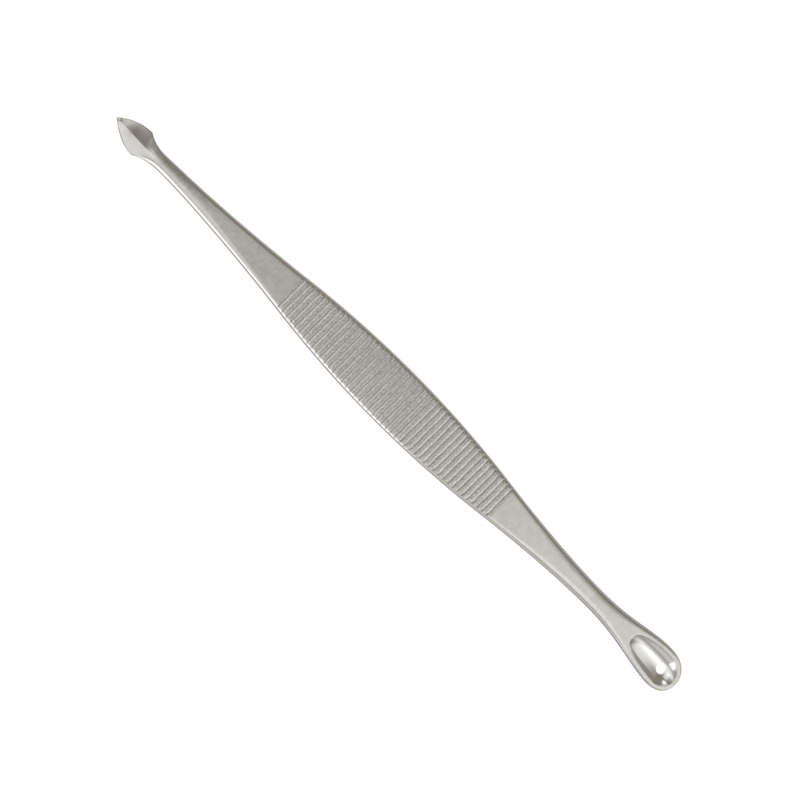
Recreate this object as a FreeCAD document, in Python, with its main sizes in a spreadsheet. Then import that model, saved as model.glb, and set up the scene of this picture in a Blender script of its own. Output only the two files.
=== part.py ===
"""Blackhead extractor: a lancet and a pierced spoon on one flat ribbed grip, in millimetres.

X runs along the tool from the lancet's point to the spoon's round end, Y across it and Z up out of
the front face. The origin is under the middle of the tool's length, on the plane the grip lies on.
"""
import FreeCAD, Part
import os
import Sketcher
from FreeCAD import Vector

# Driving dimensions, one cell each
SIZES = {
    # Lancet: length and width of the blade, its ridge and edge lands, the blunt of its point
    "blade_length": 5.3,
    "blade_width": 4.56,
    "blade_thickness": 1.5,
    "blade_ridge": 0.08,
    "blade_edge": 0.14,
    "blade_point": 0.2,
    # Flare behind the shoulders, and the neck that it runs down to
    "flare_length": 4.2,
    "lancet_neck_width": 2.5,
    "lancet_neck_thickness": 2.0,
    "lancet_neck_flat": 1.0,
    "lancet_neck_edge": 0.8,
    "lancet_shank_length": 26.9,
    # Grip: flat bar with bevelled sides and cross grooves on both faces
    "grip_width": 9.5,
    "grip_end_width": 6.5,
    "grip_thickness": 2.4,
    "bevel": 0.42,
    "groove_count": 47,
    "groove_pitch": 1.0,
    "groove_width": 0.42,
    "groove_depth": 0.14,
    # Spoon: neck, swelling sides, round end with a domed back
    "spoon_shank_length": 21.1,
    "spoon_neck_width": 3.5,
    "spoon_length": 20.5,
    "spoon_width": 6.73,
    "spoon_back_flat": 3.0,
    # Bowl pressed into the spoon, the metal left around and under it, and the hole through its floor
    "bowl_end_rim": 0.9,
    "bowl_side_rim": 1.06,
    "bowl_end_reach": 2.6,
    "bowl_neck_reach": 7.4,
    "bowl_depth": 1.15,
    "bowl_floor": 0.35,
    "hole_diameter": 1.8,
    "hole_end_distance": 3.5,
    # How far every cut runs past the surface that it opens
    "overrun": 0.5,
}

doc = FreeCAD.newDocument("blackhead_extractor")
sheet = doc.addObject("Spreadsheet::Sheet", "Sizes")
for row, (alias, value) in enumerate(SIZES.items(), start=1):
    sheet.set(f"A{row}", alias)
    sheet.set(f"B{row}", str(value))
    sheet.setAlias(f"B{row}", alias)
doc.recompute()


def size(alias):
    """Expression that reads one driving dimension."""
    return f"Sizes.{alias}"


def half(alias):
    """Expression for half of one driving dimension."""
    return f"{size(alias)} / 2"


def blend(first, last, share):
    """Expression that lies the given share of the way from the first one to the last one."""
    return f"({first}) + {share:.6f} * (({last}) - ({first}))"


def value(expression):
    """What an expression comes to with the sizes as they stand."""
    return sheet.evalExpression(expression)


# Places along the tool, each zone starting where the one before it ends
grip_length = f"{size('groove_count')} * {size('groove_pitch')}"
lancet_length = f"{size('blade_length')} + {size('flare_length')} + {size('lancet_shank_length')}"
spoon_side_length = f"{size('spoon_shank_length')} + {size('spoon_length')}"
overall_length = f"{lancet_length} + {grip_length} + {spoon_side_length}"
blade_start = f"-({overall_length}) / 2"
flare_start = f"{blade_start} + {size('blade_length')}"
lancet_shank_start = f"{flare_start} + {size('flare_length')}"
grip_start = f"{lancet_shank_start} + {size('lancet_shank_length')}"
spoon_shank_start = f"{grip_start} + {grip_length}"
spoon_start = f"{spoon_shank_start} + {size('spoon_shank_length')}"
spoon_end = f"{spoon_start} + {size('spoon_length')}"
spoon_centre = f"{spoon_end} - {half('spoon_width')}"
mid_plane = half("grip_thickness")


def section(half_width, face_bevel, back_bevel, half_thickness, half_edge):
    """Octagon: half its width, the bevels' runs on face and back, half its thickness, half its edge."""
    return {
        "half_width": half_width,
        "face_bevel": face_bevel,
        "back_bevel": back_bevel,
        "half_thickness": half_thickness,
        "half_edge": half_edge,
    }


def bevelled_bar(half_width, half_thickness, back_bevel=size("bevel")):
    """Section of flat bar with the common bevel on its corners, or a wider one along the back."""
    half_edge = f"{half_thickness} - {size('bevel')}"
    return section(half_width, size("bevel"), back_bevel, half_thickness, half_edge)


def ridged_blade(width_alias, half_thickness, half_edge):
    """Section of the blade, whose two faces slope from a narrow ridge to thin edges."""
    slope = f"({size(width_alias)} - {size('blade_ridge')}) / 2"
    return section(half(width_alias), slope, slope, half_thickness, half_edge)


# Sections where the zones meet
POINT_EDGE_SHARE = 0.7
neck_slope = f"({size('lancet_neck_width')} - {size('lancet_neck_flat')}) / 2"
half_spoon = f"({size('bowl_depth')} + {size('bowl_floor')}) / 2"
spoon_back_bevel = f"({size('spoon_width')} - {size('spoon_back_flat')}) / 2"
blade_point = ridged_blade("blade_point", half("blade_point"), f"{POINT_EDGE_SHARE} * {half('blade_point')}")
blade_shoulder = ridged_blade("blade_width", half("blade_thickness"), half("blade_edge"))
lancet_neck = section(half("lancet_neck_width"), neck_slope, neck_slope,
                      half("lancet_neck_thickness"), half("lancet_neck_edge"))
grip_end = bevelled_bar(half("grip_end_width"), half("grip_thickness"))
spoon_neck = bevelled_bar(half("spoon_neck_width"), half_spoon)
spoon_head = bevelled_bar(half("spoon_width"), half_spoon, spoon_back_bevel)


# Laws that say how far a zone's width has changed at a share of its length
def ogive_share(share):
    return 1 - (1 - share) ** 2


def flare_share(share):
    return 1 - (1 - share) ** 2.4


def shank_share(share):
    return share ** 1.6


def tapering_shank_share(share):
    return 1 - shank_share(1 - share)


def swell_share(share):
    eased_share = share ** 1.35
    return eased_share ** 2 * (3 - 2 * eased_share)


def new_body(name):
    body = doc.addObject("PartDesign::Body", name)
    body.Label = name
    return body


def origin_feature(body, role):
    """Plane or axis of the body's own origin."""
    return next(feature for feature in body.Origin.OriginFeatures if feature.Role == role)


def new_sketch(body, name, plane, offsets):
    """Sketch on one of the body's planes, moved by expressions in the plane's own directions."""
    sketch = body.newObject("Sketcher::SketchObject", name)
    sketch.AttachmentSupport = (origin_feature(body, plane), [""])
    sketch.MapMode = "FlatFace"
    for direction, expression in offsets.items():
        sketch.setExpression(f"AttachmentOffset.Base.{direction}", expression)
    return sketch


# A sketch's own axes and origin, and the points of a side or an arc, by the numbers that sketches give them
UP_AXIS, ACROSS_AXIS = range(-2, 0)
START, END, CENTRE = range(1, 4)
ORIGIN = (ACROSS_AXIS, START)


def hold(sketch, kind, *points):
    """Geometric constraint between sides, points and axes."""
    return sketch.addConstraint(Sketcher.Constraint(kind, *points))


def dimension(sketch, name, kind, points, expression):
    """Size of one side or distance from a first point to a last one, held to an expression."""
    index = hold(sketch, kind, *points, value(expression))
    sketch.renameConstraint(index, name)
    sketch.setExpression(f"Constraints.{name}", expression)


def join_sides(sketch, first_side, side_count):
    """Ends each side where the next one starts, and the last where the first one does."""
    for index in range(side_count):
        follower = first_side + (index + 1) % side_count
        hold(sketch, "Coincident", first_side + index, END, follower, START)


def add_polygon(sketch, corners):
    """Closed outline of straight sides, each starting at its corner; returns the first side's number."""
    first_side = sketch.GeometryCount
    for corner, following in zip(corners, corners[1:] + corners[:1]):
        sketch.addGeometry(Part.LineSegment(corner, following), False)
    join_sides(sketch, first_side, len(corners))
    return first_side


def add_section(body, name, place, outline):
    """Octagon standing across the tool at a place along it, level with the tool's middle plane."""
    sketch = new_sketch(body, name, "YZ_Plane", {"z": place, "y": mid_plane})
    half_face = f"{outline['half_width']} - ({outline['face_bevel']})"
    half_back = f"{outline['half_width']} - ({outline['back_bevel']})"
    width = value(outline["half_width"])
    face = value(half_face)
    back = value(half_back)
    height = value(outline["half_thickness"])
    edge = value(outline["half_edge"])
    add_polygon(sketch, [
        Vector(width, edge), Vector(face, height), Vector(-face, height), Vector(-width, edge),
        Vector(-width, -edge), Vector(-back, -height), Vector(back, -height), Vector(width, -edge),
    ])
    corners = range(sketch.GeometryCount)
    right_edge, right_face, left_face, left_edge, left_foot, left_back, right_back, right_foot = corners
    for corner, twin in ((right_edge, left_edge), (right_face, left_face), (left_back, right_back)):
        hold(sketch, "Symmetric", corner, START, twin, START, UP_AXIS)
    for corner, twin in ((right_edge, right_foot), (left_edge, left_foot)):
        hold(sketch, "Symmetric", corner, START, twin, START, ACROSS_AXIS)
    dimension(sketch, "half_width", "DistanceX", (*ORIGIN, right_edge, START), outline["half_width"])
    dimension(sketch, "half_edge", "DistanceY", (*ORIGIN, right_edge, START), outline["half_edge"])
    dimension(sketch, "half_face", "DistanceX", (*ORIGIN, right_face, START), half_face)
    dimension(sketch, "face_height", "DistanceY", (*ORIGIN, right_face, START), outline["half_thickness"])
    dimension(sketch, "half_back", "DistanceX", (*ORIGIN, right_back, START), half_back)
    dimension(sketch, "back_depth", "DistanceY", (right_back, START, *ORIGIN), outline["half_thickness"])
    return sketch


def add_zone(body, name, start, length, first, last, law, station_count):
    """Loft along the tool: widths follow the law, thicknesses change evenly from first to last."""
    stations = []
    for station in range(station_count):
        share = station / (station_count - 1)
        outline = {}
        for key in ("half_width", "face_bevel", "back_bevel"):
            outline[key] = blend(first[key], last[key], law(share))
        for key in ("half_thickness", "half_edge"):
            outline[key] = blend(first[key], last[key], share)
        place = f"{start} + {share:.6f} * ({length})"
        stations.append(add_section(body, f"{name}_station_{station}", place, outline))
    loft = body.newObject("PartDesign::AdditiveLoft", f"{name}_loft")
    loft.Profile = stations[0]
    loft.Sections = stations[1:]
    doc.recompute()


def add_through_cut(body, name, outline):
    """Pocket that runs right through the body, both ways from its sketch."""
    cut = body.newObject("PartDesign::Pocket", name)
    cut.Profile = outline
    cut.Type = "ThroughAll"
    cut.SideType = "Symmetric"
    doc.recompute()
    return cut


# Lancet blade: two ground faces each side of a ridge, shoulders, and the flare down to the neck
lancet_blade = new_body("lancet_blade")
add_zone(lancet_blade, "blade", blade_start, size("blade_length"), blade_point, blade_shoulder, ogive_share, 6)
add_zone(lancet_blade, "flare", flare_start, size("flare_length"), blade_shoulder, lancet_neck, flare_share, 6)

# Lancet shank: nearly round at the neck, flat bar where the grip begins
lancet_shank = new_body("lancet_shank")
add_zone(lancet_shank, "lancet_shank", lancet_shank_start, size("lancet_shank_length"),
         lancet_neck, grip_end, shank_share, 7)

# Ribbed grip: flat bar with bowed sides, bevelled along them, before the grooves are pressed in
ribbed_grip = new_body("ribbed_grip")
half_grip = f"({grip_length}) / 2"
bow = f"({half('grip_width')} - {half('grip_end_width')})"
bow_radius = f"(({half_grip})^2 + {bow}^2) / (2 * {bow})"
grip_plan = new_sketch(ribbed_grip, "grip_plan", "XY_Plane", {"x": f"{grip_start} + {half_grip}"})
grip_reach = value(half_grip)
grip_side = value(half("grip_width"))
grip_corner = value(half("grip_end_width"))
grip_plan.addGeometry(Part.LineSegment(
    Vector(grip_reach, -grip_corner), Vector(grip_reach, grip_corner)), False)
grip_plan.addGeometry(Part.Arc(
    Vector(grip_reach, grip_corner), Vector(0, grip_side), Vector(-grip_reach, grip_corner)), False)
grip_plan.addGeometry(Part.LineSegment(
    Vector(-grip_reach, grip_corner), Vector(-grip_reach, -grip_corner)), False)
grip_plan.addGeometry(Part.Arc(
    Vector(-grip_reach, -grip_corner), Vector(0, -grip_side), Vector(grip_reach, -grip_corner)), False)
spoon_end_side, left_bow, lancet_end_side, right_bow = range(grip_plan.GeometryCount)
join_sides(grip_plan, spoon_end_side, grip_plan.GeometryCount)
hold(grip_plan, "Symmetric", spoon_end_side, START, spoon_end_side, END, ACROSS_AXIS)
hold(grip_plan, "Symmetric", lancet_end_side, START, lancet_end_side, END, ACROSS_AXIS)
hold(grip_plan, "Symmetric", left_bow, START, left_bow, END, UP_AXIS)
hold(grip_plan, "Equal", left_bow, right_bow)
dimension(grip_plan, "half_length", "DistanceX", (*ORIGIN, spoon_end_side, END), half_grip)
dimension(grip_plan, "half_end_width", "DistanceY", (*ORIGIN, spoon_end_side, END), half("grip_end_width"))
dimension(grip_plan, "bow_radius", "Radius", (left_bow,), bow_radius)
grip_bar = ribbed_grip.newObject("PartDesign::Pad", "grip_bar")
grip_bar.Profile = grip_plan
grip_bar.setExpression("Length", size("grip_thickness"))
doc.recompute()
bowed_edges = []
for number, edge in enumerate(grip_bar.Shape.Edges, start=1):
    if isinstance(edge.Curve, Part.Circle):
        bowed_edges.append(f"Edge{number}")
grip_bevels = ribbed_grip.newObject("PartDesign::Chamfer", "grip_bevels")
grip_bevels.Base = (grip_bar, bowed_edges)
grip_bevels.setExpression("Size", size("bevel"))
ribbed_grip.Tip = grip_bevels
doc.recompute()
smooth_volume = ribbed_grip.Shape.Volume

# Grooves: a row of shallow V cuts across both faces of the grip
groove_cut = new_sketch(ribbed_grip, "groove_cut", "XZ_Plane", {"x": f"{grip_start} + {half('groove_pitch')}"})
mouth_share = f"({size('groove_depth')} + {size('overrun')}) / {size('groove_depth')}"
half_mouth = f"{half('groove_width')} * {mouth_share}"
face_apex = f"{size('grip_thickness')} - {size('groove_depth')}"
face_mouth = f"{size('grip_thickness')} + {size('overrun')}"
spread = value(half_mouth)
above = value(face_mouth)
below = -value(size("overrun"))
face_vee = add_polygon(groove_cut, [
    Vector(0, value(face_apex)), Vector(spread, above), Vector(-spread, above)])
back_vee = add_polygon(groove_cut, [
    Vector(0, value(size("groove_depth"))), Vector(-spread, below), Vector(spread, below)])
for vee in (face_vee, back_vee):
    hold(groove_cut, "PointOnObject", vee, START, UP_AXIS)
    hold(groove_cut, "Symmetric", vee + 1, START, vee + 2, START, UP_AXIS)
dimension(groove_cut, "face_apex", "DistanceY", (*ORIGIN, face_vee, START), face_apex)
dimension(groove_cut, "face_mouth", "DistanceY", (*ORIGIN, face_vee + 1, START), face_mouth)
dimension(groove_cut, "face_half_mouth", "DistanceX", (*ORIGIN, face_vee + 1, START), half_mouth)
dimension(groove_cut, "back_apex", "DistanceY", (*ORIGIN, back_vee, START), size("groove_depth"))
dimension(groove_cut, "back_mouth", "DistanceY", (back_vee + 1, START, *ORIGIN), size("overrun"))
dimension(groove_cut, "back_half_mouth", "DistanceX", (back_vee + 1, START, *ORIGIN), half_mouth)
first_groove = add_through_cut(ribbed_grip, "first_groove", groove_cut)
grooves = ribbed_grip.newObject("PartDesign::LinearPattern", "grooves")
grooves.Originals = [first_groove]
grooves.Direction = (origin_feature(ribbed_grip, "X_Axis"), [""])
grooves.setExpression("Length", f"({size('groove_count')} - 1) * {size('groove_pitch')}")
grooves.setExpression("Occurrences", size("groove_count"))
ribbed_grip.Tip = grooves
doc.recompute()

# Spoon shank: flat bar that narrows and thins towards the spoon
spoon_shank = new_body("spoon_shank")
add_zone(spoon_shank, "spoon_shank", spoon_shank_start, size("spoon_shank_length"),
         grip_end, spoon_neck, tapering_shank_share, 7)

# Spoon head: swelling sides, and a round end turned from the section that they end in
spoon_bowl = new_body("spoon_bowl")
swell_length = f"{size('spoon_length')} - {half('spoon_width')}"
add_zone(spoon_bowl, "swell", spoon_start, swell_length, spoon_neck, spoon_head, swell_share, 8)
half_section = new_sketch(spoon_bowl, "half_section", "YZ_Plane", {"z": spoon_centre, "y": mid_plane})
half_face = f"{spoon_head['half_width']} - ({spoon_head['face_bevel']})"
half_back = f"{spoon_head['half_width']} - ({spoon_head['back_bevel']})"
head_width = value(spoon_head["half_width"])
head_height = value(spoon_head["half_thickness"])
head_edge = value(spoon_head["half_edge"])
add_polygon(half_section, [
    Vector(0, -head_height), Vector(0, head_height), Vector(-value(half_face), head_height),
    Vector(-head_width, head_edge), Vector(-head_width, -head_edge), Vector(-value(half_back), -head_height),
])
bottom, top, face_side, edge_top, edge_foot, back_side = range(half_section.GeometryCount)
hold(half_section, "PointOnObject", top, START, UP_AXIS)
hold(half_section, "Symmetric", bottom, START, top, START, ACROSS_AXIS)
hold(half_section, "Symmetric", edge_top, START, edge_foot, START, ACROSS_AXIS)
hold(half_section, "Horizontal", top)
hold(half_section, "Horizontal", back_side)
dimension(half_section, "face_height", "DistanceY", (*ORIGIN, top, START), spoon_head["half_thickness"])
dimension(half_section, "half_face", "DistanceX", (face_side, START, *ORIGIN), half_face)
dimension(half_section, "half_width", "DistanceX", (edge_top, START, *ORIGIN), spoon_head["half_width"])
dimension(half_section, "half_edge", "DistanceY", (*ORIGIN, edge_top, START), spoon_head["half_edge"])
dimension(half_section, "half_back", "DistanceX", (back_side, START, *ORIGIN), half_back)
round_end = spoon_bowl.newObject("PartDesign::Revolution", "round_end")
round_end.Profile = half_section
round_end.ReferenceAxis = (half_section, ["V_Axis"])
round_end.Angle = 180
doc.recompute()
solid_volume = spoon_bowl.Shape.Volume

# Bowl: two arcs meeting at the deepest point, turned about an axis that lies above the front face
half_bowl = f"({half('spoon_width')} - {size('bowl_side_rim')})"
axis_lift = f"({half_bowl}^2 - {size('bowl_depth')}^2) / (2 * {size('bowl_depth')})"
axis_height = f"{mid_plane} + {half_spoon} + {axis_lift}"
bowl_centre = f"{spoon_end} - {size('bowl_end_rim')} - {size('bowl_end_reach')}"
bowl_profile = new_sketch(spoon_bowl, "bowl_profile", "XZ_Plane", {"x": bowl_centre, "y": axis_height})
neck_reach = value(size("bowl_neck_reach"))
end_reach = value(size("bowl_end_reach"))
lip = -value(axis_lift)
drop = value(size("bowl_depth"))


def arc_to_lip(reach):
    """Middle and lip end of the arc that is level at the deepest point and rises over the reach."""
    radius = (reach ** 2 + drop ** 2) / (2 * drop)
    centre = Vector(0, lip - drop + radius)
    end = Vector(reach, lip)
    halfway = (end - centre).normalize() + Vector(0, -1)
    return centre + halfway.normalize() * radius, end


neck_middle, neck_lip = arc_to_lip(-neck_reach)
end_middle, end_lip = arc_to_lip(end_reach)
deepest = Vector(0, lip - drop)
bowl_profile.addGeometry(Part.LineSegment(Vector(-neck_reach, 0), neck_lip), False)
bowl_profile.addGeometry(Part.Arc(neck_lip, neck_middle, deepest), False)
bowl_profile.addGeometry(Part.Arc(deepest, end_middle, end_lip), False)
bowl_profile.addGeometry(Part.LineSegment(end_lip, Vector(end_reach, 0)), False)
bowl_profile.addGeometry(Part.LineSegment(Vector(end_reach, 0), Vector(-neck_reach, 0)), False)
neck_wall, neck_arc, end_arc, end_wall, axis_side = range(bowl_profile.GeometryCount)
join_sides(bowl_profile, neck_wall, bowl_profile.GeometryCount)
hold(bowl_profile, "PointOnObject", neck_arc, CENTRE, UP_AXIS)
hold(bowl_profile, "PointOnObject", end_arc, CENTRE, UP_AXIS)
hold(bowl_profile, "PointOnObject", end_arc, START, UP_AXIS)
hold(bowl_profile, "Vertical", neck_wall)
hold(bowl_profile, "Vertical", end_wall)
hold(bowl_profile, "PointOnObject", neck_wall, START, ACROSS_AXIS)
hold(bowl_profile, "PointOnObject", axis_side, START, ACROSS_AXIS)
dimension(bowl_profile, "neck_reach", "DistanceX", (neck_wall, START, *ORIGIN), size("bowl_neck_reach"))
dimension(bowl_profile, "end_reach", "DistanceX", (*ORIGIN, axis_side, START), size("bowl_end_reach"))
dimension(bowl_profile, "neck_lip", "DistanceY", (neck_arc, START, *ORIGIN), axis_lift)
dimension(bowl_profile, "end_lip", "DistanceY", (end_wall, START, *ORIGIN), axis_lift)
dimension(bowl_profile, "deepest", "DistanceY", (end_arc, START, *ORIGIN), f"{axis_lift} + {size('bowl_depth')}")
bowl = spoon_bowl.newObject("PartDesign::Groove", "bowl")
bowl.Profile = bowl_profile
bowl.ReferenceAxis = (bowl_profile, ["H_Axis"])
bowl.Angle = 360
doc.recompute()
dished_volume = spoon_bowl.Shape.Volume

# Hole through the floor at the deepest point of the bowl
hole_place = f"{spoon_end} - {size('hole_end_distance')}"
hole_circle = new_sketch(spoon_bowl, "hole_circle", "XY_Plane", {"x": hole_place})
hole_circle.addGeometry(Part.Circle(Vector(), Vector(0, 0, 1), value(half("hole_diameter"))), False)
hold(hole_circle, "Coincident", 0, CENTRE, *ORIGIN)
dimension(hole_circle, "diameter", "Diameter", (0,), size("hole_diameter"))
add_through_cut(spoon_bowl, "hole", hole_circle)

# Every feature is sound, every cut has taken metal away, and each piece is one valid solid
for item in doc.Objects:
    if "Invalid" in item.State or "Error" in item.State:
        raise RuntimeError(f"{item.Name} failed: {item.State}")
if not ribbed_grip.Shape.Volume < smooth_volume < grip_bar.Shape.Volume:
    raise RuntimeError("the bevels or the grooves cut nothing")
if not spoon_bowl.Shape.Volume < dished_volume < solid_volume:
    raise RuntimeError("the bowl or its hole cut nothing")
pieces = [lancet_blade, lancet_shank, ribbed_grip, spoon_shank, spoon_bowl]
for piece in pieces:
    if piece.Shape.isNull() or not piece.Shape.isValid() or len(piece.Shape.Solids) != 1:
        raise RuntimeError(f"{piece.Label} is not one valid solid")

os.makedirs("parts", exist_ok=True)
for piece in pieces:
    piece.Shape.exportStep(f"parts/{piece.Label}.step")
    box = piece.Shape.BoundBox
    print(piece.Label, round(piece.Shape.Volume, 3), box)
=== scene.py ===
import math

import bpy
import numpy as np
from mathutils import Matrix, Vector


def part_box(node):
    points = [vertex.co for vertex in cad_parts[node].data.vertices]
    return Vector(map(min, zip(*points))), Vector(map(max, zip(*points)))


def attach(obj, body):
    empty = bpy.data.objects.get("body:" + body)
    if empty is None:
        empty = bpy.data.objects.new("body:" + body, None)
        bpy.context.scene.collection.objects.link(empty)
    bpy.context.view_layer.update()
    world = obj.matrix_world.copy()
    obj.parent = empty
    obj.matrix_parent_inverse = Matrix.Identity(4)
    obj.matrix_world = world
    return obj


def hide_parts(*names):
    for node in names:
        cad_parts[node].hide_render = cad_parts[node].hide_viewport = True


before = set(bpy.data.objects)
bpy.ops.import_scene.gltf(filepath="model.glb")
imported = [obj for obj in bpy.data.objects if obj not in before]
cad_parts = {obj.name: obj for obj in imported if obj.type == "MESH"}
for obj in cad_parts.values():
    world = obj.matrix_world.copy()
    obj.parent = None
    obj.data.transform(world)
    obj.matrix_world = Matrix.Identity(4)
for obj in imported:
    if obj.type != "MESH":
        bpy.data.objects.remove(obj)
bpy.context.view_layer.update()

# Lancet blade: a pointed blade with a ridge down its middle and square shoulders, flaring back into a
# round neck. It is hollow ground on both faces out of the one stainless bar that the tool is forged from.
MM = 0.001
POINT = 0.03
POINT_SHARE = 0.1
POINT_RISE = 0.2
RIDGE_START = 0.2
RIDGE_RUN = 0.45
RIDGE_RISE = 0.39
RIDGE_FADE = {"start": 0.3, "run": 2.4}
BLADE_LENGTH = 5.3
SHOULDER = 2.28
FLARE_POWER = 2.4
FLARE_BEVEL_LEAD = 1.2
POINT_LAND = 0.021
LAND_SHARE = 0.2
FACET_SHARE = 0.65
BLADE_CREASE = 18
EDGE_LAND = {"half_height": 0.06, "slant": 0.1, "bevel": 0.03, "rounding": 0.03}
NECK = {"width": 1.25, "height": 1.0, "drop": 0.17, "slant": 0.18, "bevel": 0.36, "rounding": 0.07}
SET_ASIDE = {"by": 0.17, "x": -56.5, "spread": 3.5}
BEVEL_SLOPE = 0.7
HOLLOW = 0.35
SIDE_STEPS = 3
FOOT_STEPS = 5
BEVEL_STEPS = 4
BORDER_STEPS = 6
FACE_STEPS = 18
FACE_CROWDING = 1.25
CORNER_LIMIT = 0.45


def zone_ends(node):
    """Where a zone of the tool starts and ends along it, in millimetres, read from its CAD solid."""
    low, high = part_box(node)
    return low.x / MM, high.x / MM


def middle_height():
    """Height of the tool's middle plane in millimetres: halfway up the grip."""
    low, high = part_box("ribbed_grip")
    return (low.z + high.z) / 2 / MM


def ease(share):
    """Rises from 0 to 1 with level ends: three times the square less twice the cube."""
    share = np.clip(share, 0, 1)
    return share * share * (3 - 2 * share)


def mix(start, end, share):
    """What lies the given share of the way from the start to the end."""
    return start + (end - start) * share


def straight(start, end, count):
    """Points from start towards end, one row for each station, without the last point."""
    return mix(start[:, None], end[:, None], np.linspace(0, 1, count, endpoint=False))


def rounded(start, corner, end, count):
    """Quadratic Bezier curve that rounds a corner off, without its last point."""
    share = np.linspace(0, 1, count, endpoint=False)
    first = start[:, None] * (1 - share) ** 2
    return first + 2 * corner[:, None] * share * (1 - share) + end[:, None] * share ** 2


def edge_profile(top, bevel, slant, slope, rounding, lift):
    """Edge of the bar, from the middle of its side up to its face, as inset + rise times i.

    The side leans in by the slant up to the bevel's foot, the bevel climbs from there to the face's
    border at the top height, and quadratic Bezier curves round both corners off.
    """
    side = np.zeros_like(top) + 0j
    foot = slant + 1j * (top - bevel * slope)
    border = slant + bevel + 1j * top
    inner = border + rounding + 1j * lift
    side_share = np.minimum(0.5 * rounding / abs(foot - side), CORNER_LIMIT)
    bevel_share = np.minimum(rounding / abs(border - foot), CORNER_LIMIT)
    below = mix(foot, side, side_share)
    above = mix(foot, border, side_share)
    outer = mix(border, foot, bevel_share)
    return np.hstack([
        straight(side, below, SIDE_STEPS),
        rounded(below, foot, above, FOOT_STEPS),
        straight(above, outer, BEVEL_STEPS),
        rounded(outer, border, inner, BORDER_STEPS),
    ])


def face_drop(across, level, ridged):
    """Share of its fall that a face has dropped at a share of the way from its middle to its border.

    A plain face is level up to a share of its half width, then falls away as a parabola. A ridged face is
    hollow ground: it falls steeply beside the ridge and levels out towards its edge, as a straight fall
    with a square term does.
    """
    shoulder = np.clip((across - level) / (1 - level), 0, 1) ** 2
    left = 1 - across
    hollow = 1 - left * (1 + HOLLOW * left) / (1 + HOLLOW)
    return mix(shoulder, hollow, ridged)


def whole_ring(quarter, across=1, under=1):
    """Ring round the bar from its quarter, which runs from the side's middle to the middle of the face.

    The signs turn the values over on the other side and on the back.
    """
    return np.hstack([quarter, across * quarter[:, -2::-1], across * under * quarter[:, 1:],
                      under * quarter[:, -2:0:-1]])


def bar_rings(x, width, height, top, bevel, slant, rounding, run=0.5, ridged=0.0):
    """Closed section of the bar at each station: a quarter section mirrored into the other three.

    The quarter runs from the side's middle over the edge profile to the middle of the face. The face falls
    from the height on the centre line to the top height at its border, over the run beside the border.
    """
    x, width, height, top, bevel, slant, rounding, run, ridged = np.broadcast_arrays(
        x, width, height, top, bevel, slant, rounding, run, ridged)
    border = width - slant - bevel
    level = np.clip(1 - run / border, 0, 0.98)
    inner_share = (border - rounding) / border
    lift = (height - top) * (1 - face_drop(inner_share, level, ridged))
    edge = edge_profile(top, bevel, slant, BEVEL_SLOPE, rounding, lift)
    across = inner_share[:, None] * np.linspace(1, 0, FACE_STEPS) ** FACE_CROWDING
    drop = face_drop(across, level[:, None], ridged[:, None])
    face = mix(height[:, None], top[:, None], drop)
    ring_y = whole_ring(np.hstack([width[:, None] - edge.real, across * border[:, None]]), across=-1)
    ring_z = whole_ring(np.hstack([edge.imag, face]), under=-1) + middle_height()
    return np.stack([np.broadcast_to(x[:, None], ring_y.shape), ring_y, ring_z], axis=-1)


ON_SIDE = np.hstack([
    np.ones(SIDE_STEPS), np.linspace(1, 0, FOOT_STEPS), np.zeros(BEVEL_STEPS + BORDER_STEPS)])
ON_BEVEL = np.hstack([
    np.zeros(SIDE_STEPS), np.linspace(0, 1, FOOT_STEPS), np.ones(BEVEL_STEPS),
    np.linspace(1, 0, BORDER_STEPS)])


def edge_masks(rings):
    """Masks of a bar's dull sides, painted dark as shade, and of its bright bevels, the same at every
    station.
    """
    masks = {}
    for mask, edge in (("side", ON_SIDE), ("bevel", ON_BEVEL)):
        ring = whole_ring(np.hstack([edge, np.zeros(FACE_STEPS)])[None])
        masks[mask] = np.repeat(ring, len(rings), axis=0)
    return masks


def add_piece(name, points, faces, material, masks, crease=40):
    """Smooth mesh object at the origin from points in millimetres, with its masks as point attributes."""
    mesh = bpy.data.meshes.new(name)
    mesh.from_pydata((points.reshape(-1, 3) * MM).tolist(), [], faces)
    mesh.polygons.foreach_set("use_smooth", np.ones(len(faces), bool))
    mesh.set_sharp_from_angle(angle=math.radians(crease))
    for mask, values in masks.items():
        attribute = mesh.attributes.new(mask, "FLOAT", "POINT")
        attribute.data.foreach_set("value", values.ravel().astype(np.float32))
    mesh.materials.append(material)
    mesh.update()
    piece = bpy.data.objects.new(name, mesh)
    bpy.context.scene.collection.objects.link(piece)
    return piece


def add_bar(name, rings, material, masks, crease=40):
    """Piece of bar: a tube of quads through its closed rings, with a flat face at each end."""
    rows, columns = rings.shape[:2]
    number = np.arange(rows * columns).reshape(rows, columns)
    following = np.roll(number, -1, axis=1)
    quads = np.stack([number[:-1], following[:-1], following[1:], number[1:]], axis=-1).reshape(-1, 4)
    ends = [number[0, ::-1].tolist(), number[-1].tolist()]
    return add_piece(name, rings, quads.tolist() + ends, material, masks, crease)


def add_node(tree, kind, links, **settings):
    """Shader node with its settings; links maps each input to a value or to another node's output."""
    node = tree.nodes.new(kind)
    for setting, choice in settings.items():
        setattr(node, setting, choice)
    for name, source in links.items():
        if isinstance(source, bpy.types.NodeSocket):
            tree.links.new(source, node.inputs[name])
        else:
            node.inputs[name].default_value = source
    return node


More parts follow.
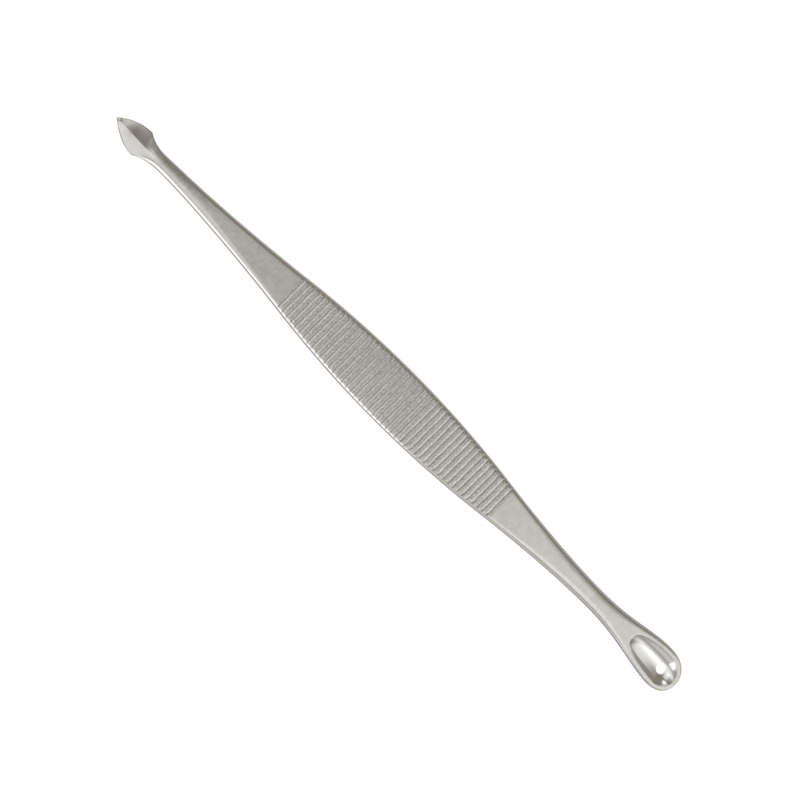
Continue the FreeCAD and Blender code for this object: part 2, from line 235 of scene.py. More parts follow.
def cross_grain_group():
    """Marks of a belt run across the tool: noise drawn out along Y, and a soft mottle of the metal."""
    tree = bpy.data.node_groups.new("cross_grain", "ShaderNodeTree")
    for name in ("Vector", "Fineness"):
        tree.interface.new_socket(name, in_out="INPUT", socket_type="NodeSocketVector")
    tree.interface.new_socket("Mottle", in_out="INPUT", socket_type="NodeSocketFloat")
    for name in ("Marks", "Mottle"):
        tree.interface.new_socket(name, in_out="OUTPUT", socket_type="NodeSocketFloat")
    given = tree.nodes.new("NodeGroupInput")
    drawn = add_node(tree, "ShaderNodeVectorMath",
                     {0: given.outputs["Vector"], 1: given.outputs["Fineness"]}, operation="MULTIPLY")
    marks = add_node(tree, "ShaderNodeTexNoise",
                     {"Vector": drawn.outputs["Vector"], "Scale": 1.0, "Detail": 4.0, "Roughness": 0.6})
    mottle = add_node(tree, "ShaderNodeTexNoise",
                      {"Vector": given.outputs["Vector"], "Scale": given.outputs["Mottle"], "Detail": 3.0})
    result = tree.nodes.new("NodeGroupOutput")
    tree.links.new(marks.outputs["Fac"], result.inputs["Marks"])
    tree.links.new(mottle.outputs["Fac"], result.inputs["Mottle"])
    return tree


CROSS_GRAIN = cross_grain_group()
BRIGHT_BEVEL = {"colour": (0.74, 0.73, 0.71), "roughness": 0.14}
# Painted shade: the sides' dark colour stands for the shadowed floor that they reflect; they are rougher
# too.
DULL_SHADED_SIDE = {"colour": (0.29, 0.284, 0.27), "roughness": 0.42}
GROUND_FACET = {"colour": (0.71, 0.7, 0.675), "roughness": 0.2}
SATIN = {"dark": (0.55, 0.54, 0.51), "light": (0.68, 0.67, 0.645), "fineness": (7000, 1000, 7000),
         "mottle": 900, "roughness": 0.3, "spread": 0.05, "bump": 0.000004}


def steel_material(name, dark, light, fineness, mottle, roughness, spread, bump, finishes_and_shades):
    """Bare steel: grain and mottle shade it between two greys, roughen it and raise its marks.

    Each finish, and each painted shade, takes over the colour and the roughness where its mask is 1, and
    flattens the marks there.
    """
    material = bpy.data.materials.new(name)
    material.use_nodes = True
    tree = material.node_tree
    shader = tree.nodes["Principled BSDF"]
    shader.inputs["Metallic"].default_value = 1.0
    place = tree.nodes.new("ShaderNodeTexCoord")
    grain = add_node(tree, "ShaderNodeGroup", {}, node_tree=CROSS_GRAIN)
    tree.links.new(place.outputs["Object"], grain.inputs["Vector"])
    grain.inputs["Fineness"].default_value = fineness
    grain.inputs["Mottle"].default_value = mottle
    shade = add_node(tree, "ShaderNodeMath", {
        0: grain.outputs["Marks"], 1: grain.outputs["Mottle"]}, operation="ADD")
    tone = add_node(tree, "ShaderNodeMapRange", {
        "Value": shade.outputs[0], "From Min": 0.65, "From Max": 1.35})
    colour = add_node(tree, "ShaderNodeMix", {
        "Factor": tone.outputs[0], 6: (*dark, 1), 7: (*light, 1)}, data_type="RGBA").outputs[2]
    rough = add_node(tree, "ShaderNodeMapRange", {
        "Value": grain.outputs["Marks"], "From Min": 0.3, "From Max": 0.7,
        "To Min": roughness - spread, "To Max": roughness + spread}).outputs[0]
    height = grain.outputs["Marks"]
    for mask, finish_or_shade in finishes_and_shades.items():
        here = add_node(tree, "ShaderNodeAttribute", {}, attribute_name=mask).outputs["Fac"]
        elsewhere = add_node(tree, "ShaderNodeMath", {0: 1.0, 1: here}, operation="SUBTRACT")
        colour = add_node(tree, "ShaderNodeMix", {
            "Factor": here, 6: colour, 7: (*finish_or_shade["colour"], 1)}, data_type="RGBA").outputs[2]
        rough = add_node(tree, "ShaderNodeMix", {
            "Factor": here, "A": rough, "B": finish_or_shade["roughness"]}).outputs["Result"]
        height = add_node(tree, "ShaderNodeMath", {
            0: height, 1: elsewhere.outputs[0]}, operation="MULTIPLY").outputs[0]
    tree.links.new(colour, shader.inputs["Base Color"])
    tree.links.new(rough, shader.inputs["Roughness"])
    raised = add_node(tree, "ShaderNodeBump", {"Height": height, "Strength": 1.0, "Distance": bump})
    tree.links.new(raised.outputs["Normal"], shader.inputs["Normal"])
    return material


def set_aside(rings):
    """The lancet's rings, set a little to the near side around its shoulders by a bell curve."""
    x = rings[..., 0]
    shift = SET_ASIDE["by"] * np.exp(-((x - SET_ASIDE["x"]) / SET_ASIDE["spread"]) ** 2)
    return rings - np.stack([np.zeros_like(x), shift, np.zeros_like(x)], axis=-1)


blade_start, blade_end = zone_ends("lancet_blade")
shoulder_x = blade_start + BLADE_LENGTH
x = np.unique(np.hstack([
    np.linspace(blade_start, blade_start + 1, 28), np.linspace(blade_start + 1, shoulder_x, 50),
    np.linspace(shoulder_x, blade_end, 60)]))
blade = np.clip((x - blade_start) / BLADE_LENGTH, 0, 1)
flare = np.clip((x - shoulder_x) / (blade_end - shoulder_x), 0, 1)
thickened = ease(flare)
width = np.where(flare > 0, mix(NECK["width"], SHOULDER, (1 - flare) ** FLARE_POWER),
                 mix(POINT, SHOULDER, 1 - (1 - blade) ** 2))
point_height = POINT + POINT_RISE * np.minimum(blade / POINT_SHARE, 1)
ridge = point_height + RIDGE_RISE * ease((blade - RIDGE_START) / RIDGE_RUN)
thin = np.minimum(width, 1)
bevel = mix(EDGE_LAND["bevel"], NECK["bevel"], ease(flare * FLARE_BEVEL_LEAD)) * thin
land = POINT_LAND + EDGE_LAND["half_height"] * ease(blade / LAND_SHARE)
rings = bar_rings(
    x, width, mix(ridge, NECK["height"], thickened),
    mix(land + bevel * BEVEL_SLOPE, NECK["height"] - NECK["drop"], thickened), bevel,
    mix(EDGE_LAND["slant"], NECK["slant"], thickened) * thin,
    mix(EDGE_LAND["rounding"], NECK["rounding"], thickened) * thin,
    run=width, ridged=1 - ease((x - shoulder_x - RIDGE_FADE["start"]) / RIDGE_FADE["run"]))
rings = set_aside(rings)
masks = edge_masks(rings)
masks["facet"] = FACET_SHARE * (1 - thickened)[:, None] * np.ones_like(masks["side"])
ground_steel = steel_material(
    "ground_steel", **SATIN,
    finishes_and_shades={"facet": GROUND_FACET, "bevel": BRIGHT_BEVEL, "side": DULL_SHADED_SIDE})
ground_lancet = add_bar("ground_lancet", rings, ground_steel, masks, BLADE_CREASE)
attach(ground_lancet, "root")
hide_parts("lancet_blade")

# Lancet shank: the stem behind the lancet, nearly round at the neck and flattening into the bar of the
# grip, its long edges bevelled. It is satin finished by a fine belt run across it, and its soft shoulder
# flattens sooner on the far side than on the near side.
GRIP_END = {"width": 3.25, "height": 1.2, "bevel": 0.3, "slant": 0.23, "rounding": 0.08, "drop": 0.02,
            "run": 0.4}
STEM_FLARE = 1.6
LEVEL_SHARE = 0.9
NEAR_SHOULDER_SHARE = 0.35
FAR_SHOULDER_SHARE = 0.55

stem_start, stem_end = zone_ends("lancet_shank")
x = np.linspace(stem_start, stem_end, 120)
share = (x - stem_start) / (stem_end - stem_start)
height = mix(NECK["height"], GRIP_END["height"], share)


def stem_rings(flattened):
    """Rings of the lancet's stem, whose soft shoulders are flattened by a share at each station."""
    return bar_rings(
        x, mix(NECK["width"], GRIP_END["width"], share ** STEM_FLARE), height,
        height - mix(NECK["drop"], GRIP_END["drop"], flattened),
        mix(NECK["bevel"], GRIP_END["bevel"], share), mix(NECK["slant"], GRIP_END["slant"], share),
        mix(NECK["rounding"], GRIP_END["rounding"], share),
        mix(NECK["width"], GRIP_END["run"], ease(share / LEVEL_SHARE)))


near_rings = stem_rings(ease((share - NEAR_SHOULDER_SHARE) / (1 - NEAR_SHOULDER_SHARE)))
far_rings = stem_rings(ease(share / FAR_SHOULDER_SHARE))
rings = set_aside(np.where(near_rings[..., 1:2] > 0, far_rings, near_rings))
satin_steel = steel_material("satin_steel", **SATIN, finishes_and_shades={"bevel": BRIGHT_BEVEL, "side": DULL_SHADED_SIDE})
lancet_stem = add_bar("lancet_stem", rings, satin_steel, edge_masks(rings))
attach(lancet_stem, "root")
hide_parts("lancet_shank")

# Ribbed grip: flat bar with bowed sides and a row of shallow grooves pressed across both faces, which
# nick its bevels. The dies leave grainy lands and grooves that waver and lean towards the grip's ends.
GRIP_WIDTH = 4.75
GROOVES = 47
GROOVE = {"steep": 0.12, "gentle": 0.27, "offset": -0.1, "depth": 0.07, "floor_rounding": 0.1,
          "brim_rounding": 0.012}
NICK = {"depth": 0.14, "run": 0.6}
UPRIGHT = {"x": 2.0, "run": 3}
FAINT = {"by": 0.5, "x": -6, "spread": 9, "from_y": -2, "run": 5}
UNEVEN = 0.2
WAVER = 0.012
END_FADE = 120
# Painted shade that darkens the grooves' walls.
PAINTED_GROOVE_SHADE = {"colour": (0.27, 0.257, 0.237), "roughness": 0.38}
GRAINY_LAND = {"dark": (0.27, 0.262, 0.245), "light": (0.85, 0.84, 0.805), "fineness": (7000, 3500, 7000),
               "mottle": 9000, "roughness": 0.29, "spread": 0.05, "bump": 0.000014}

grip_start, grip_end = zone_ends("ribbed_grip")
pitch = (grip_end - grip_start) / GROOVES


def wall_runs(x):
    """Runs of a groove's two walls along the tool: the steep wall is the one nearer to that half's end."""
    turned = (1 + np.tanh((x - UPRIGHT["x"]) / UPRIGHT["run"])) / 2
    return mix(GROOVE["steep"], GROOVE["gentle"], turned), mix(GROOVE["gentle"], GROOVE["steep"], turned)


def groove_depth(x, y):
    """How deep a groove is pressed: uneven by slow waves, and faint on the far side of the grip's middle."""
    middle = np.exp(-((x - FAINT["x"]) / FAINT["spread"]) ** 2)
    faint = FAINT["by"] * middle * ease((y - FAINT["from_y"]) / FAINT["run"])
    return GROOVE["depth"] * (1 + UNEVEN * np.sin(1.9 * x + 0.8 * y) - faint)


def groove_walls(x):
    """Share of its depth that a groove has at each place, and whether that is on its steep wall.

    The two walls run straight from the brims down to the floor, which a hyperbola rounds. Past the brims
    the share goes below zero.
    """
    place = (x - grip_start) / pitch
    middle = np.floor(place) + 0.5
    before, after = wall_runs(grip_start + middle * pitch)
    ahead = (place - middle) * pitch - GROOVE["offset"]
    curve = GROOVE["floor_rounding"]
    share = 1 + curve - np.sqrt((ahead / np.where(ahead < 0, before, after)) ** 2 + curve ** 2)
    return share, (ahead < 0) == (before < after)


def waver(x, y):
    """How far the grooves stray along the tool: three slow waves over both directions."""
    waves = np.sin(2.3 * x + 0.9 * y) + np.sin(5.1 * x - 1.7 * y + 2) + np.sin(0.7 * x + 3.1 * y + 4)
    return WAVER * waves


def lower_of(first, second, blend):
    """The lower of two heights, with the corner where they cross rounded over the blend's height."""
    return (first + second - np.sqrt((first - second) ** 2 + blend ** 2)) / 2


middles = np.arange(GROOVES) + 0.5
floors = middles + GROOVE["offset"] / pitch
before, after = wall_runs(grip_start + middles * pitch)
knots = np.stack([
    middles - 0.5, floors - before / pitch, floors, floors + after / pitch, middles + 0.5], axis=1)
# Stations of one groove, counted in spans between its knots and closer together at its brims and walls.
steps = np.array([0, 0.5, 0.9, 1, 1.35, 1.7, 2, 2.25, 2.5, 2.75, 3, 3.1, 3.5])
span = steps.astype(int)
places = mix(knots[:, span], knots[:, span + 1], steps - span)
x = np.append(grip_start + pitch * places.ravel(), grip_end)
share = (x - grip_start) / (grip_end - grip_start)
width = mix(GRIP_END["width"], GRIP_WIDTH, 1 - (2 * share - 1) ** 2)
rings = bar_rings(x, width, GRIP_END["height"], GRIP_END["height"] - GRIP_END["drop"], GRIP_END["bevel"],
                  GRIP_END["slant"], GRIP_END["rounding"], GRIP_END["run"])
masks = edge_masks(rings)
ring_x, ring_y = rings[..., 0], rings[..., 1]
rise = rings[..., 2] - middle_height()
border = (width - GRIP_END["slant"] - GRIP_END["bevel"])[:, None]
depth_share, on_steep = groove_walls(ring_x)
nicked = ease((abs(ring_y) - border) / NICK["run"] + 1)
floor_height = GRIP_END["height"] - mix(groove_depth(ring_x, ring_y), NICK["depth"], nicked) * depth_share
pressed = np.sign(rise) * lower_of(abs(rise), floor_height, GROOVE["brim_rounding"])
end_fade = ease(np.minimum(share, 1 - share) * END_FADE)[:, None]
rings = np.stack([ring_x + end_fade * waver(ring_x, ring_y), ring_y,
                  middle_height() + mix(rise, pressed, end_fade)], axis=-1)
# Painted shade in the grooves: the steep wall is dark from near its brim down, the gentle one only in its
# last fifth, at the floor.
shaded_steep = np.clip(2.2 * depth_share, 0, 1)
shaded_gentle = np.clip(5 * depth_share - 4, 0, 1)
off_edges = (1 - masks["side"]) * (1 - 0.7 * masks["bevel"])
masks["groove"] = np.where(on_steep, shaded_steep, shaded_gentle) * off_edges
ribbed_steel = steel_material(
    "ribbed_steel", **GRAINY_LAND,
    finishes_and_shades={"bevel": BRIGHT_BEVEL, "groove": PAINTED_GROOVE_SHADE, "side": DULL_SHADED_SIDE})
grip_bar = add_bar("grip_bar", rings, ribbed_steel, masks)
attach(grip_bar, "root")
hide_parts("ribbed_grip")

# Spoon shank: the stem on the other side of the grip, flat bar with the same bevels that narrows and
# thins towards the spoon. It has the same satin finish as the other stem.
SPOON_NECK = {"width": 1.75, "height": 0.75, "drop": 0.095, "run": 0.8, "rounding": 0.25}
SOFTENING_LEAD = 1.3

stem_start, stem_end = zone_ends("spoon_shank")
x = np.linspace(stem_start, stem_end, 100)
share = (x - stem_start) / (stem_end - stem_start)
height = mix(GRIP_END["height"], SPOON_NECK["height"], share)
softened = ease(share * SOFTENING_LEAD)
rings = bar_rings(x, mix(SPOON_NECK["width"], GRIP_END["width"], (1 - share) ** STEM_FLARE), height,
                  height - mix(GRIP_END["drop"], SPOON_NECK["drop"], softened), GRIP_END["bevel"],
                  GRIP_END["slant"], mix(GRIP_END["rounding"], SPOON_NECK["rounding"], softened),
                  mix(GRIP_END["run"], SPOON_NECK["run"], softened))
spoon_stem = add_bar("spoon_stem", rings, satin_steel, edge_masks(rings))
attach(spoon_stem, "root")
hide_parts("spoon_shank")

# Spoon: the stem swells into a round head with a deep egg-shaped bowl pressed into its face and a hole
# drilled through its floor. The rim is satin like the stem, the bowl is polished bright up to just under
# its lip, and the head is bent a little to the near side, as it left the dies.
HEAD = {"width": 3.365, "length": 4.3, "bluntness": 2.25, "bevel": 0.15, "back_bevel": 1.2, "drop": 0.006,
        "run": 0.3, "rounding": 0.08, "back_rounding": 0.4}
BOWL = {"centre": 59.0, "depth": 1.15, "half_width": 2.305, "neck_reach": 7.4, "end_reach": 2.6}
BOWL_WALL = math.radians(38)
BOWL_NECK = {"fullness": 2.2, "bluntness": 0.6}
LIP = {"crisp": 0.02, "soft": 0.05, "soft_from": 55.5, "run": 3}
SWELL_POWER = 1.35
HOLE = {"centre": 59.0, "radius": 0.91}
BEND = {"start": 52.0, "rate": 0.005}
FAN_POINT = 54.0
CUT_STEPS = 22
RIM_STEPS = 12
BOWL_STEPS = 33
WALL_STEPS = 5
UNDER_STEPS = 11
RIM_CROWDING = 1.7
BOWL_CROWDING = 1.3
POLISHED_BOWL = {"colour": (0.79, 0.79, 0.785), "roughness": 0.19}
POLISH_RUN = 0.3

spoon_start, spoon_end = zone_ends("spoon_bowl")
head_x = spoon_end - HEAD["length"]
bowl_lift = (BOWL["half_width"] ** 2 - BOWL["depth"] ** 2) / (2 * BOWL["depth"])


def bowl_radius(x):
    """Radius of the bowl's turned section: the axis's lift plus the depth along the bowl.

    Towards the round end the depth is an arc, towards the neck a blunt superellipse. Past the bowl it goes
    on falling, so that the section clears the face there.
    """
    past = x - BOWL["centre"]
    arc = (BOWL["end_reach"] ** 2 + BOWL["depth"] ** 2) / (2 * BOWL["depth"])
    round_end = BOWL["depth"] - arc + np.sqrt(np.maximum(arc ** 2 - past ** 2, 0))
    share = np.maximum(-past, 0) / BOWL["neck_reach"]
    left = np.maximum(1 - share ** BOWL_NECK["fullness"], 0) ** BOWL_NECK["bluntness"]
    neck_end = BOWL["depth"] * left - np.maximum(share - 1, 0) * BOWL["neck_reach"]
    return np.maximum(bowl_lift + np.where(past > 0, round_end, neck_end), 0)


def bowl_height(x, y):
    """Height of the bowl over the spoon's face: an arc up to the wall's lean, and straight from there."""
    radius = bowl_radius(x)
    arc_y = np.minimum(abs(y), radius * math.sin(BOWL_WALL))
    return bowl_lift - np.sqrt(radius ** 2 - arc_y ** 2) + math.tan(BOWL_WALL) * (abs(y) - arc_y)


swell_x = np.linspace(spoon_start, head_x, 400, endpoint=False)
swell = ease(((swell_x - spoon_start) / (head_x - spoon_start)) ** SWELL_POWER)
turn = np.linspace(math.pi / 2, 0, 300)
power = 2 / HEAD["bluntness"]
half_x = np.hstack([swell_x, head_x + HEAD["length"] * np.maximum(np.cos(turn), 0) ** power])
half_y = np.hstack([mix(SPOON_NECK["width"], HEAD["width"], swell), HEAD["width"] * np.sin(turn) ** power])
walked = np.hstack([0, np.cumsum(np.hypot(np.diff(half_x), np.diff(half_y)))])
even = np.linspace(0, walked[-1], 200)
side_x = np.interp(even, walked, half_x)
side_y = np.interp(even, walked, half_y)
round_x = np.hstack([side_x, side_x[-2::-1]])
round_y = np.hstack([side_y, -side_y[-2::-1]])
cut_share = np.linspace(-1, 1, CUT_STEPS + 2)[1:-1]
outline_x = np.hstack([np.full(CUT_STEPS, spoon_start), round_x])
outline_y = np.hstack([cut_share * SPOON_NECK["width"], round_y])
on_cut = np.arange(len(outline_x)) < CUT_STEPS
width_share = np.hstack([cut_share, np.ones(len(round_x))])
inward = np.stack([np.gradient(round_y), -np.gradient(round_x)])
inward = inward / np.hypot(*inward)
inward[:, 0] = (0, -1)
inward[:, -1] = (0, 1)
inward_x, inward_y = np.hstack([np.zeros((2, CUT_STEPS)), inward])


def swelling(x):
    """How far the neck has turned into the head at a place along the spoon."""
    return ease((x - spoon_start) / (head_x - spoon_start))


def shoulder_share(x, y):
    """How far the face's soft shoulder has fallen: the square of the nearness to the bevel's border."""
    bevel = mix(GRIP_END["bevel"], HEAD["bevel"], swelling(x))
    border = np.interp(x, half_x, half_y) - GRIP_END["slant"] - bevel
    run = mix(SPOON_NECK["run"], HEAD["run"], swelling(x))
    return np.clip(1 - (border - abs(y)) / run, 0, 1) ** 2


def rim_height(x, y):
    """Height of the spoon's face without the bowl over the middle plane: level, less the shoulders' fall."""
    return SPOON_NECK["height"] - mix(SPOON_NECK["drop"], HEAD["drop"], swelling(x)) * shoulder_share(x, y)


def spoon_face(x, y):
    """Height of the spoon's face over the middle plane: the lower of its rim and of the turned bowl.

    Where they meet, the lip is rounded, softly at the neck end and crisply at the round end.
    """
    bowl = SPOON_NECK["height"] + bowl_height(x, y)
    soft = mix(LIP["crisp"], LIP["soft"], ease((LIP["soft_from"] - x) / LIP["run"]))
    return lower_of(rim_height(x, y), bowl, soft)


swelled = swelling(outline_x)
slant = np.full_like(outline_x, GRIP_END["slant"])
drop = mix(SPOON_NECK["drop"], HEAD["drop"], swelled)
run = mix(SPOON_NECK["run"], HEAD["run"], swelled)
rounding = mix(SPOON_NECK["rounding"], HEAD["rounding"], swelled)
edge = edge_profile(
    SPOON_NECK["height"] - drop, mix(GRIP_END["bevel"], HEAD["bevel"], swelled), slant, BEVEL_SLOPE,
    rounding, drop * (1 - (1 - rounding / run) ** 2))
back_bevel = mix(GRIP_END["bevel"], HEAD["back_bevel"], swelled)
back_rounding = mix(SPOON_NECK["rounding"], HEAD["back_rounding"], swelled)
back_edge = edge_profile(
    SPOON_NECK["height"] - drop, back_bevel, slant, BEVEL_SLOPE * GRIP_END["bevel"] / back_bevel,
    back_rounding, drop * (1 - np.maximum(1 - back_rounding / run, 0) ** 2))


def edge_ring(profile):
    """Rings up one edge of the spoon: inset from the outline on its sides, upright where it meets the stem.

    On that cut each point keeps its share of the width, and rises with the section's own contour.
    """
    inset = profile.real.T
    rise = profile.imag.T
    foot = GRIP_END["slant"]
    cut_y = width_share * (SPOON_NECK["width"] - inset)
    cut_inset = SPOON_NECK["width"] - abs(cut_y)
    contour = np.where(cut_inset > profile.real[0, -1], rim_height(spoon_start, cut_y),
                       np.interp(cut_inset, profile.real[0], profile.imag[0]))
    climbing = np.clip(rise / np.interp(foot, profile.real[0], profile.imag[0]), 0, 1)
    cut_x = spoon_start + np.maximum(inset - foot, 0) * (1 - width_share ** 4)
    return np.stack([
        np.where(on_cut, cut_x, outline_x + inward_x * inset),
        np.where(on_cut, cut_y, outline_y + inward_y * inset),
        np.where(on_cut, contour * climbing, rise)], axis=-1)


turn = np.linspace(0, math.pi / 2, 400)
egg_x = BOWL["centre"] + np.hstack([
    -BOWL["neck_reach"] * np.cos(turn[:-1]), BOWL["end_reach"] * np.sin(turn)])
wall_run = np.maximum(bowl_radius(egg_x) * math.cos(BOWL_WALL) - bowl_lift, 0) / math.tan(BOWL_WALL)
arc_y = np.sqrt(np.maximum(bowl_radius(egg_x) ** 2 - bowl_lift ** 2, 0))
egg_y = np.minimum(arc_y, bowl_radius(egg_x) * math.sin(BOWL_WALL)) + wall_run
egg_angle = np.arctan2(egg_y, egg_x - FAN_POINT)
egg_far = np.hypot(egg_y, egg_x - FAN_POINT)
top_edge = edge_ring(edge)
inner_x, inner_y = top_edge[-1, :, 0], top_edge[-1, :, 1]
angle = np.arctan2(abs(inner_y), inner_x - FAN_POINT)
far = np.interp(angle, egg_angle[::-1], egg_far[::-1])
lip_x = FAN_POINT + far * np.cos(angle)
lip_y = np.sign(inner_y) * far * np.sin(angle)
hole_angle = np.arctan2(lip_y, lip_x - HOLE["centre"])
hole_x = HOLE["centre"] + HOLE["radius"] * np.cos(hole_angle)
hole_y = HOLE["radius"] * np.sin(hole_angle)
# The rim's rings crowd towards the lip from outside, the bowl's from inside.
rim_shares = 1 - (1 - np.linspace(0, 1, RIM_STEPS + 1)[1:, None]) ** RIM_CROWDING
bowl_shares = np.linspace(0, 1, BOWL_STEPS + 1)[1:, None] ** BOWL_CROWDING
wall_shares = np.linspace(0, 1, WALL_STEPS + 1)[1:-1, None]
under_shares = np.linspace(0, 1, UNDER_STEPS + 1)[:-1, None]
plan_x = np.vstack([mix(inner_x, lip_x, rim_shares), mix(lip_x, hole_x, bowl_shares)])
plan_y = np.vstack([mix(inner_y, lip_y, rim_shares), mix(lip_y, hole_y, bowl_shares)])
face_rings = np.stack([plan_x, plan_y, spoon_face(plan_x, plan_y)], axis=-1)
back_rings = edge_ring(back_edge)[::-1] * np.array([1, 1, -1])
under_x = mix(hole_x, back_rings[0, :, 0], under_shares)
under_y = mix(hole_y, back_rings[0, :, 1], under_shares)
under_rings = np.stack([under_x, under_y, -rim_height(under_x, under_y)], axis=-1)
wall_rise = mix(face_rings[-1, :, 2], under_rings[0, :, 2], wall_shares)
wall_rings = np.stack([*np.broadcast_arrays(hole_x, hole_y, wall_rise)], axis=-1)
rings = np.concatenate([top_edge, face_rings, wall_rings, under_rings, back_rings[:-1]])
rings[..., 1] -= BEND["rate"] * np.maximum(rings[..., 0] - BEND["start"], 0) ** 2
rings[..., 2] += middle_height()
rows, columns = rings.shape[:2]
masks = {mask: np.zeros((rows, columns)) for mask in ("side", "bevel", "polish")}
masks["side"][:len(top_edge)] = np.where(on_cut, 0, ON_SIDE[:, None])
masks["side"][-len(back_rings) + 1:] = np.where(on_cut, 0, ON_SIDE[:0:-1, None])
cut_inset = SPOON_NECK["width"] - abs(top_edge[..., 1])
cut_bevel = np.interp(cut_inset, edge.real[0], ON_BEVEL, right=0)
masks["bevel"][:len(top_edge)] = np.where(on_cut, cut_bevel, ON_BEVEL[:, None])
first_bowl = len(top_edge) + len(rim_shares)
first_wall = first_bowl + len(bowl_shares)
masks["polish"][first_bowl:first_wall] = ease(bowl_shares / POLISH_RUN)
masks["polish"][first_wall:first_wall + len(wall_shares)] = 1
number = np.arange(rows * columns).reshape(rows, columns)
following = np.roll(number, -1, axis=1)
faces = np.stack([
    number, following, np.roll(following, -1, axis=0), np.roll(number, -1, axis=0)], axis=-1)
polished_steel = steel_material(
    "polished_steel", **SATIN,
    finishes_and_shades={"bevel": BRIGHT_BEVEL, "side": DULL_SHADED_SIDE, "polish": POLISHED_BOWL})
spoon_head = add_piece("spoon_head", rings, faces.reshape(-1, 4).tolist(), polished_steel, masks)
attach(spoon_head, "root")
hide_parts("spoon_bowl")

# Studio floor: a white table top just under the tool. It glows white for the camera and in reflections,
# and the rest of its white is plain diffuse, so it still takes the tool's soft shadow.
FLOOR_HALF = 4.0
FLOOR_Z = -0.00003
FLOOR_GLOW = 0.94
SEEN_WHITE = (0.14, 0.14, 0.14, 1)
PLAIN_WHITE = (0.8, 0.8, 0.8, 1)
floor_mesh = bpy.data.meshes.new("floor")
floor_mesh.from_pydata([(-FLOOR_HALF, -FLOOR_HALF, FLOOR_Z), (FLOOR_HALF, -FLOOR_HALF, FLOOR_Z),
                        (FLOOR_HALF, FLOOR_HALF, FLOOR_Z), (-FLOOR_HALF, FLOOR_HALF, FLOOR_Z)],
                       [], [(0, 1, 2, 3)])
studio_floor = bpy.data.objects.new("studio_floor", floor_mesh)
bpy.context.scene.collection.objects.link(studio_floor)
white = bpy.data.materials.new("white_table")
white.use_nodes = True
tree = white.node_tree
tree.nodes.clear()
path = tree.nodes.new("ShaderNodeLightPath")
seen = add_node(tree, "ShaderNodeMath", {
    0: path.outputs["Is Camera Ray"], 1: path.outputs["Is Glossy Ray"]}, operation="MAXIMUM")
shown = add_node(tree, "ShaderNodeMath", {
    0: seen.outputs[0], 1: path.outputs["Is Transmission Ray"]}, operation="MAXIMUM")
glow = add_node(tree, "ShaderNodeEmission", {"Color": (1, 1, 1, 1), "Strength": FLOOR_GLOW})
shaded = add_node(tree, "ShaderNodeBsdfDiffuse", {"Color": SEEN_WHITE})
lit = tree.nodes.new("ShaderNodeAddShader")
tree.links.new(glow.outputs[0], lit.inputs[0])
tree.links.new(shaded.outputs[0], lit.inputs[1])
plain = add_node(tree, "ShaderNodeBsdfDiffuse", {"Color": PLAIN_WHITE})
chosen = tree.nodes.new("ShaderNodeMixShader")
tree.links.new(shown.outputs[0], chosen.inputs[0])
tree.links.new(plain.outputs[0], chosen.inputs[1])
tree.links.new(lit.outputs[0], chosen.inputs[2])
output = tree.nodes.new("ShaderNodeOutputMaterial")
tree.links.new(chosen.outputs[0], output.inputs["Surface"])
floor_mesh.materials.append(white)

# Studio light: a room that is dark on the far side, pale overhead on the near side and grey below that,
# with soft boxes round the tool: a long one beyond the spoon, one beyond the lancet, two low on the near
# side, and a small lamp on the far side that glints in the bowl. The room's tones and warmth are given by
# the angle across it in degrees, from the far side over the zenith to the near side.
ROOM_TONES = {-90: 0.29, -62: 0.27, -40: 0.22, -18: 0.33, 0: 0.475, 14: 0.9,
              25: 1.2, 35: 0.95, 46: 0.45, 59: 0.39, 72: 0.53, 90: 0.48}
ROOM_WARMTH = {-45: 1.0, 20: 0.07, 40: 0.07, 60: 0.4}
WARM_TINT = np.array((1.0, 0.91, 0.79))
world = bpy.data.worlds.new("dim_room")
world.use_nodes = True
room_tree = world.node_tree
place = room_tree.nodes.new("ShaderNodeTexCoord")
split = add_node(room_tree, "ShaderNodeSeparateXYZ", {"Vector": place.outputs["Generated"]})
towards_near = add_node(room_tree, "ShaderNodeMath", {0: split.outputs["Y"], 1: -1.0}, operation="MULTIPLY")
across_room = add_node(room_tree, "ShaderNodeMath", {
    0: towards_near.outputs[0], 1: split.outputs["Z"]}, operation="ARCTAN2")
share_across = add_node(room_tree, "ShaderNodeMapRange", {
    "Value": across_room.outputs[0], "From Min": -math.pi / 2, "From Max": math.pi / 2})
ramp = add_node(room_tree, "ShaderNodeValToRGB", {"Fac": share_across.outputs[0]})
ramp.color_ramp.interpolation = "B_SPLINE"
while len(ramp.color_ramp.elements) < len(ROOM_TONES):
    ramp.color_ramp.elements.new(0.5)
for stop, (angle_across, tone) in zip(ramp.color_ramp.elements, ROOM_TONES.items()):
    stop.position = 0.5 + angle_across / 180
    warmth = np.interp(angle_across, list(ROOM_WARMTH), list(ROOM_WARMTH.values()))
    stop.color = (*(tone * mix(1, WARM_TINT, warmth)), 1)
room_tree.links.new(ramp.outputs["Color"], room_tree.nodes["Background"].inputs["Color"])
bpy.context.scene.world = world


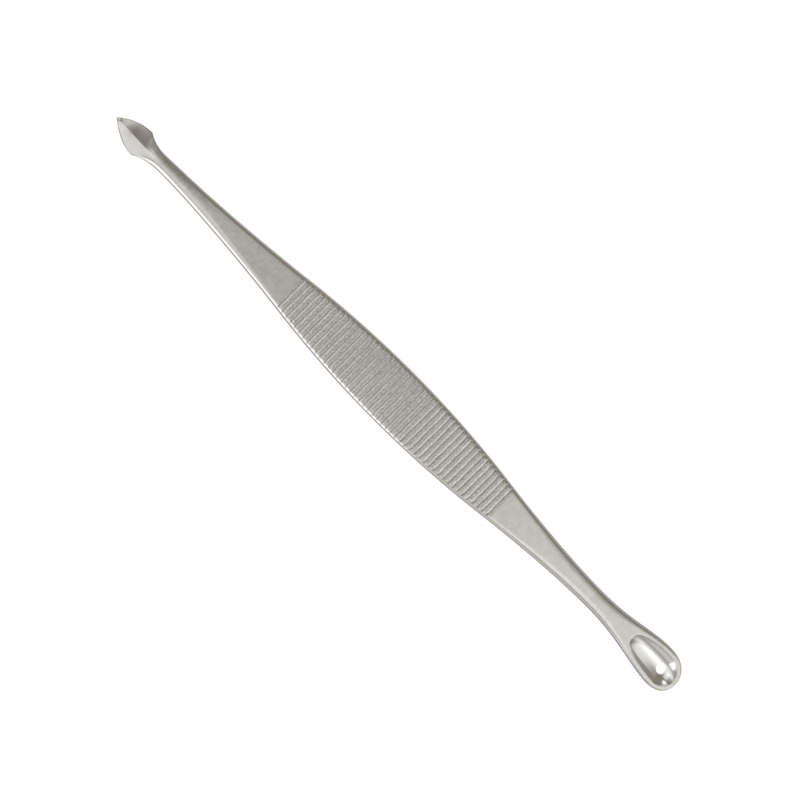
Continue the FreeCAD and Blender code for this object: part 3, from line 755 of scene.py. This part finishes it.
def add_softbox(name, direction, along, length, breadth, radiance, distance=0.8):
    """Area lamp that faces the tool from a direction, its length turned along another one.

    Its power is pi times its area times its radiance.
    """
    lamp = bpy.data.lights.new(name, "AREA")
    lamp.shape = "RECTANGLE"
    lamp.size = length
    lamp.size_y = breadth
    lamp.energy = math.pi * length * breadth * radiance
    holder = bpy.data.objects.new(name, lamp)
    away = Vector(direction).normalized()
    side = away.cross(Vector(along)).normalized()
    turned = Matrix((side.cross(away), side, away)).transposed().to_4x4()
    holder.matrix_world = Matrix.Translation(away * distance) @ turned
    bpy.context.scene.collection.objects.link(holder)


add_softbox("spoon_side_box", (0.65, 0.26, 0.71), (0.28, 0.86, -0.43), 1.35, 0.38, 0.68)
add_softbox("lancet_side_box", (-0.4, 0.1, 0.91), (0, 1, 0), 0.58, 0.42, 0.53)
add_softbox("near_side_box", (-0.06, -0.92, 0.36), (1, 0, 0), 0.48, 0.42, 0.92)
add_softbox("low_near_box", (0.36, -0.9, 0.28), (1, 0, 0), 0.5, 0.2, 0.19)
add_softbox("far_lamp", (-0.47, 0.76, 0.45), (0, 0, 1), 0.4, 0.3, 1.2)

# Camera: 300 mm over the tool, leaning towards the lancet, turned so that the tool lies across the frame
# from the upper left to the lower right.
LEAN = math.radians(10.7)
AIM = Vector((-2.08, 0.31, 1.2)) * MM
CAMERA_DISTANCE = 0.3
LENS = 87.6
SENSOR = 36
RIGHTWARD = 0.70378
DOWNWARD = 0.71042
back = Vector((-math.sin(LEAN), 0, math.cos(LEAN)))
along = Vector((math.cos(LEAN), 0, math.sin(LEAN)))
near = back.cross(along) * -1
right = RIGHTWARD * along - DOWNWARD * near
down = DOWNWARD * along + RIGHTWARD * near
camera = bpy.data.cameras.new("camera")
camera.lens = LENS
camera.sensor_width = SENSOR
camera.clip_start = 0.01
viewer = bpy.data.objects.new("camera", camera)
turned = Matrix((right, -down, back)).transposed().to_4x4()
viewer.matrix_world = Matrix.Translation(AIM + back * CAMERA_DISTANCE) @ turned
bpy.context.scene.collection.objects.link(viewer)
bpy.context.scene.camera = viewer
bpy.context.scene.view_settings.view_transform = "Standard"
